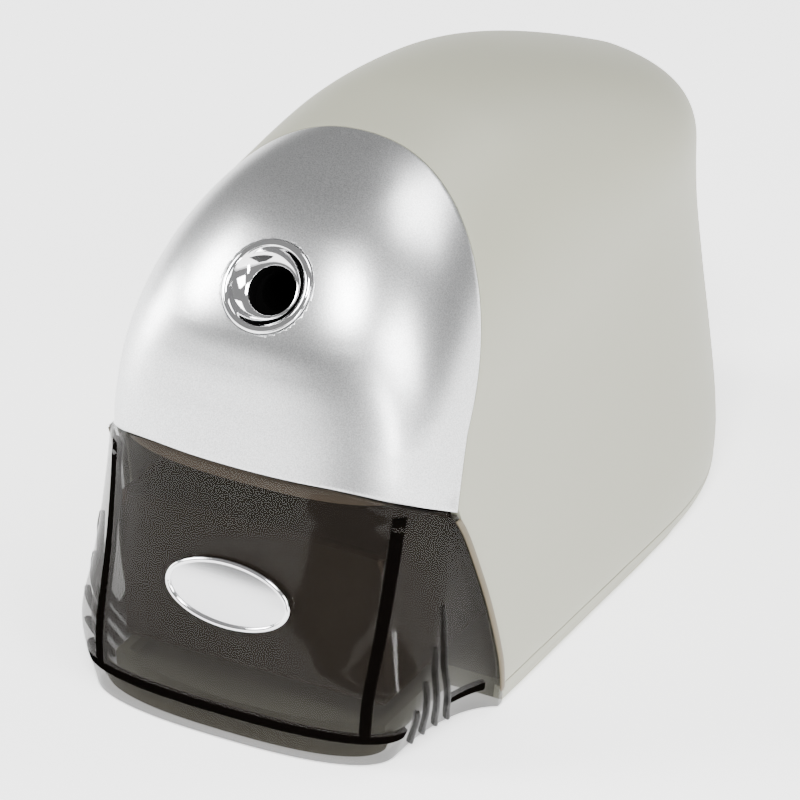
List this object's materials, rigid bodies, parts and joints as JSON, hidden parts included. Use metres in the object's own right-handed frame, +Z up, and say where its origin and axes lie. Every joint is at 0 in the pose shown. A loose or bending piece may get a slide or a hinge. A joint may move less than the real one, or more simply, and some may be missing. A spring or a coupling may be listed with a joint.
{
  "type": "electric pencil sharpener",
  "caption": "Electric desktop pencil sharpener: arched beige shell, silver front with an angled chrome pencil hole, smoked clear pull-out shavings drawer.",
  "frame": {"origin": "on the surface the sharpener stands on, under the middle of its outline", "axes": "+Z up, the pencil goes in at the front, which faces -Y, +X to the right as seen from the front"},
  "size_m": [0.1008, 0.1946, 0.127],
  "materials": {
    "housing_plastic": "fine satin texture",
    "silver_paint": "satin silver paint",
    "smoked_clear_plastic": "clear, smoked",
    "badge_metal": "polished, domed",
    "chrome": "polished",
    "black_plastic": "moulded",
    "natural_plastic": "moulded nylon or acetal",
    "steel": "turned",
    "cutter_steel": "ground and hardened",
    "brass": "machined",
    "zinc_casting": "as cast",
    "ferrite": "sintered",
    "copper": "machined copper",
    "board": "solder mask",
    "core_steel": "stacked sheets",
    "winding_tape": "tape",
    "rubber": "soft"
  },
  "bodies": {
    "body": {"housing_shell": "housing_plastic", "base_plate": "housing_plastic", "front_bezel": "silver_paint", "port_ring": "chrome", "pencil_guide": "black_plastic", "cord_gland": "rubber", "frame_front_plate": "zinc_casting", "frame_rear_plate": "zinc_casting", "frame_spacer_1": "steel", "frame_spacer_2": "steel", "frame_spacer_3": "steel", "pillar_left": "housing_plastic", "pillar_right": "housing_plastic", "frame_screw_left": "steel", "frame_screw_right": "steel", "ring_gear": "natural_plastic", "idler_axle": "steel", "motor_can": "steel", "motor_end_cap": "black_plastic", "motor_magnet_left": "ferrite", "motor_magnet_right": "ferrite", "switch_body": "black_plastic", "lever_pin": "steel", "interlock_switch": "black_plastic", "transformer_core": "core_steel", "transformer_coil": "winding_tape", "circuit_board": "board", "capacitor": "black_plastic", "rectifier": "black_plastic", "base_screw_1": "steel", "base_screw_2": "steel", "base_screw_3": "steel", "base_screw_4": "steel", "shell_post_1": "housing_plastic", "shell_post_2": "housing_plastic", "shell_post_3": "housing_plastic", "shell_post_4": "housing_plastic", "foot_1": "rubber", "foot_2": "rubber", "foot_3": "rubber", "foot_4": "rubber"},
    "drawer": {"drawer_front": "smoked_clear_plastic", "drawer_bin": "smoked_clear_plastic", "badge": "badge_metal"},
    "rotor": {"motor_shaft": "steel", "rotor_core": "core_steel", "commutator": "copper", "motor_pinion": "brass"},
    "idler": {"idler_gear": "natural_plastic", "idler_pinion": "steel"},
    "carrier": {"cutter_carrier": "zinc_casting", "carrier_gear": "natural_plastic", "carrier_shaft": "steel"},
    "cutter": {"cutter": "cutter_steel", "cutter_pinion": "steel", "cutter_spindle": "steel"},
    "lever": {"switch_lever": "natural_plastic"},
    "plunger": {"interlock_plunger": "natural_plastic"}
  },
  "joints": [
    {"name": "drawer_slide", "type": "slide", "parent": "body", "child": "drawer", "axis": [0, -1, 0], "range_m": [0, 0.07]},
    {"name": "rotor_spin", "type": "hinge", "parent": "body", "child": "rotor", "pos_m": [0.00983, 0.00079, 0.0459], "axis": [0, 0.8192, -0.5736], "continuous": true},
    {"name": "idler_spin", "type": "hinge", "parent": "body", "child": "idler", "pos_m": [0.01838, -0.00621, 0.07949], "axis": [0, 0.8192, -0.5736], "continuous": true},
    {"name": "carrier_spin", "type": "hinge", "parent": "body", "child": "carrier", "pos_m": [0, -0.03144, 0.07832], "axis": [0, 0.8192, -0.5736], "continuous": true},
    {"name": "cutter_spin", "type": "hinge", "parent": "carrier", "child": "cutter", "pos_m": [0.01, -0.04865, 0.09037], "axis": [-0.1736, 0.8067, -0.5649], "continuous": true},
    {"name": "lever_press", "type": "hinge", "parent": "body", "child": "lever", "pos_m": [0, -0.05733, 0.11109], "axis": [1, 0, 0], "range_deg": [0, 8], "stiffness_Nm_per_rad": 0.02},
    {"name": "plunger_press", "type": "slide", "parent": "body", "child": "plunger", "axis": [0, 1, 0], "range_m": [0, 0.0015], "stiffness_N_per_m": 150}
  ],
  "couplings": [
    {"joint": "idler_spin", "follows": "rotor_spin", "ratio": -0.25},
    {"joint": "carrier_spin", "follows": "rotor_spin", "ratio": 0.083333},
    {"joint": "cutter_spin", "follows": "rotor_spin", "ratio": -0.25}
  ]
}
